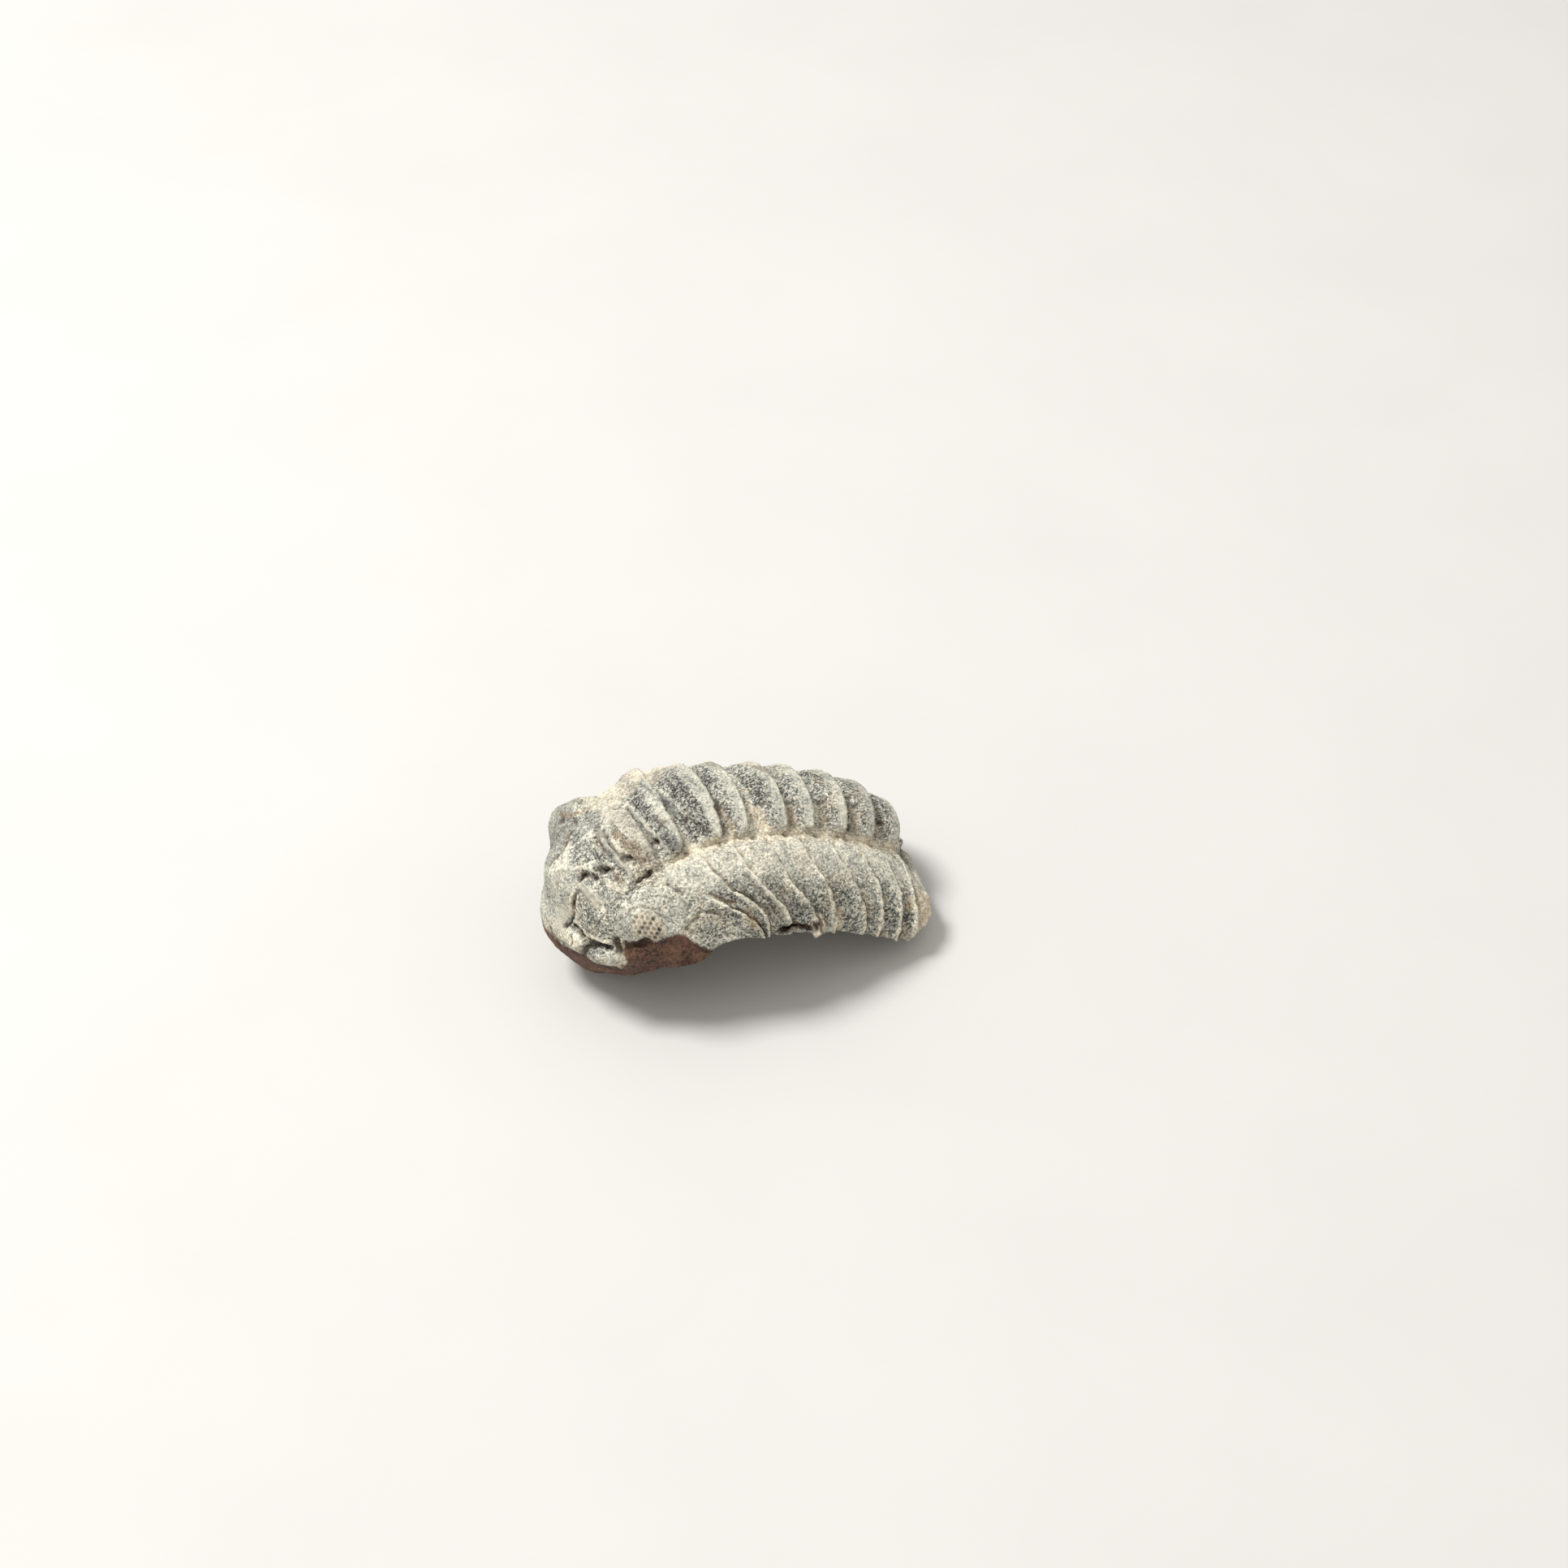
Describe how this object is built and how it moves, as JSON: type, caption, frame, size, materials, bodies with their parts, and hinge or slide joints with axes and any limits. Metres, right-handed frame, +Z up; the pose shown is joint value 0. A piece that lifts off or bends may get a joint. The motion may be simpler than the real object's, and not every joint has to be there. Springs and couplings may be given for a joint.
{
  "type": "enrolled phacops trilobite fossil",
  "caption": "Curled trilobite fossil in dark limestone, with a lobed head, a raised eye, arched rings along the back and ribbed side plates, standing on small flat spots of rock.",
  "frame": {"origin": "centre of the fossil's footprint, on the surface it rests on", "axes": "+Z up; the head at -X and the tail at +X; the side that the picture shows at -Y"},
  "size_m": [0.0244, 0.0168, 0.0117],
  "materials": {
    "dark_limestone": "matt, speckled grey stone with pale and ochre dust in the furrows"
  },
  "bodies": {
    "root": {"trilobite_fossil": "dark_limestone"}
  },
  "joints": []
}
